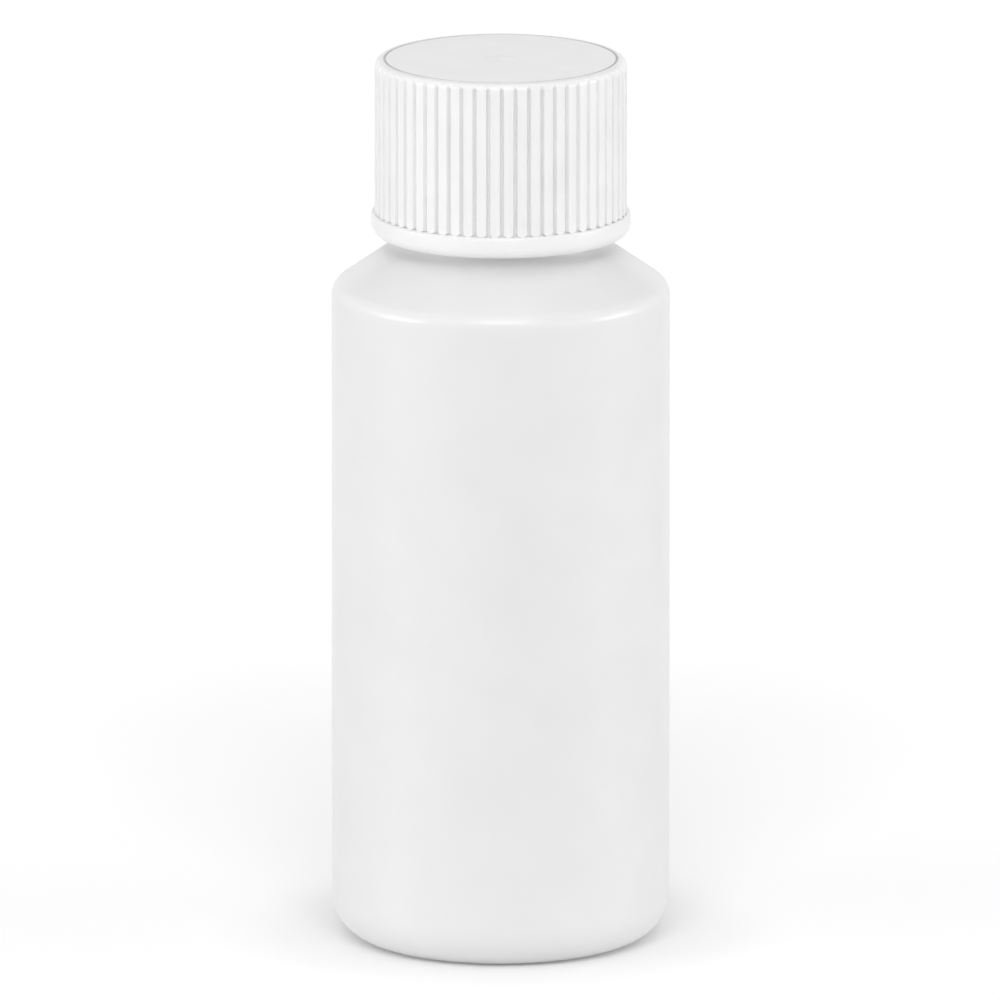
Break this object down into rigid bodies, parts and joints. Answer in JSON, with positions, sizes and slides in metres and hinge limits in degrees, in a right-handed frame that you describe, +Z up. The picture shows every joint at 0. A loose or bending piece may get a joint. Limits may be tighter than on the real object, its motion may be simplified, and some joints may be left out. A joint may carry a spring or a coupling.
{
  "type": "screw-cap pharmacy bottle",
  "caption": "Round white plastic bottle with a straight body, conical shoulder and threaded neck, closed by a ribbed screw cap with a foam liner.",
  "frame": {"origin": "on the table, under the middle of the base", "axes": "+Z up along the bottle's axis, from the base to the cap; the bottle is round, so +X and +Y are free"},
  "size_m": [0.04, 0.04, 0.1061],
  "materials": {
    "bottle_hdpe": "satin blow-moulded",
    "cap_pp": "semi-gloss moulded",
    "liner_foam": "smooth closed-cell foam"
  },
  "bodies": {
    "bottle": {"bottle": "bottle_hdpe"},
    "liner": {"liner": "liner_foam"},
    "cap": {"cap": "cap_pp"}
  },
  "joints": [
    {"name": "cap_lift", "type": "slide", "parent": "bottle", "child": "liner", "axis": [0, 0, 1], "range_m": [0, 0.0212]},
    {"name": "cap_turn", "type": "hinge", "parent": "liner", "child": "cap", "pos_m": [0, 0, 0.0953], "axis": [0, 0, 1], "range_deg": [0, 1800]}
  ],
  "couplings": [
    {"joint": "cap_lift", "follows": "cap_turn", "m_per_rad": 0.0006737}
  ]
}
